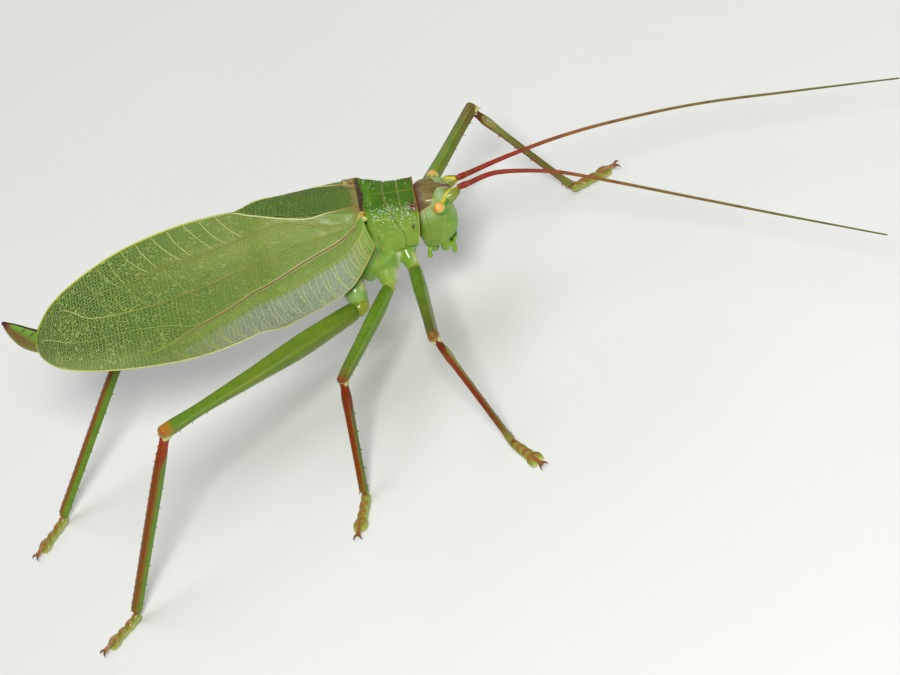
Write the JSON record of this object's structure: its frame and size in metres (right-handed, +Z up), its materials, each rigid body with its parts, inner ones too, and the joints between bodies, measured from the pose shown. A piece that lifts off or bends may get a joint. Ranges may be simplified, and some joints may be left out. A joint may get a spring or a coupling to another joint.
{
  "type": "long horned grasshopper",
  "caption": "Life-size still model of a leaf-mimicking long horned grasshopper standing with folded leaf-shaped wings, thread-like antennae and long hind legs",
  "frame": {"origin": "middle of the box round the whole animal, on the floor that the feet stand on", "axes": "+X towards the head, +Y to the animal's left, +Z up"},
  "size_m": [0.1102, 0.0528, 0.0294],
  "materials": {
    "tegmen": "waxy leaf green with raised net veins",
    "hindwing": "thin translucent membrane",
    "pronotum": "semi-gloss green shell with pale furrows",
    "cuticle": "smooth semi-gloss green shell",
    "flesh": "wet-looking pale green",
    "abdomen": "soft pale green segments",
    "femur": "glossy yellow-green",
    "tibia": "glossy red-brown above and green below",
    "tarsus": "pale yellow-green pads with brown claws",
    "antenna": "fine red-brown rings, fading to tan",
    "eye": "shiny orange-gold globe",
    "ovipositor": "green blade with dark brown edge and tip"
  },
  "bodies": {
    "root": {"head": "cuticle", "jaws": "cuticle", "maxillary_palp_left": "cuticle", "labial_palp_left": "cuticle", "maxillary_palp_right": "cuticle", "labial_palp_right": "cuticle", "pronotum": "pronotum", "prothorax": "flesh", "thorax": "flesh", "abdomen_front": "abdomen", "abdomen_middle": "abdomen", "abdomen_rear": "abdomen", "ovipositor": "ovipositor", "eye_left": "eye", "eye_right": "eye", "cercus_left": "abdomen", "cercus_right": "abdomen", "tegmen_left": "tegmen", "tegmen_right": "tegmen", "hindwing_left": "hindwing", "hindwing_right": "hindwing", "scape_left": "antenna", "scape_right": "antenna", "antenna_left_base": "antenna", "antenna_left_middle": "antenna", "antenna_left_tip": "antenna", "antenna_right_base": "antenna", "antenna_right_middle": "antenna", "antenna_right_tip": "antenna", "coxa_fore_left": "flesh", "femur_fore_left": "femur", "tibia_fore_left": "tibia", "tarsus_fore_left": "tarsus", "coxa_mid_left": "flesh", "femur_mid_left": "femur", "tibia_mid_left": "tibia", "tarsus_mid_left": "tarsus", "coxa_hind_left": "flesh", "femur_hind_left": "femur", "tibia_hind_left": "tibia", "tarsus_hind_left": "tarsus", "coxa_fore_right": "flesh", "femur_fore_right": "femur", "tibia_fore_right": "tibia", "tarsus_fore_right": "tarsus", "coxa_mid_right": "flesh", "femur_mid_right": "femur", "tibia_mid_right": "tibia", "tarsus_mid_right": "tarsus", "coxa_hind_right": "flesh", "femur_hind_right": "femur", "tibia_hind_right": "tibia", "tarsus_hind_right": "tarsus"}
  },
  "joints": []
}
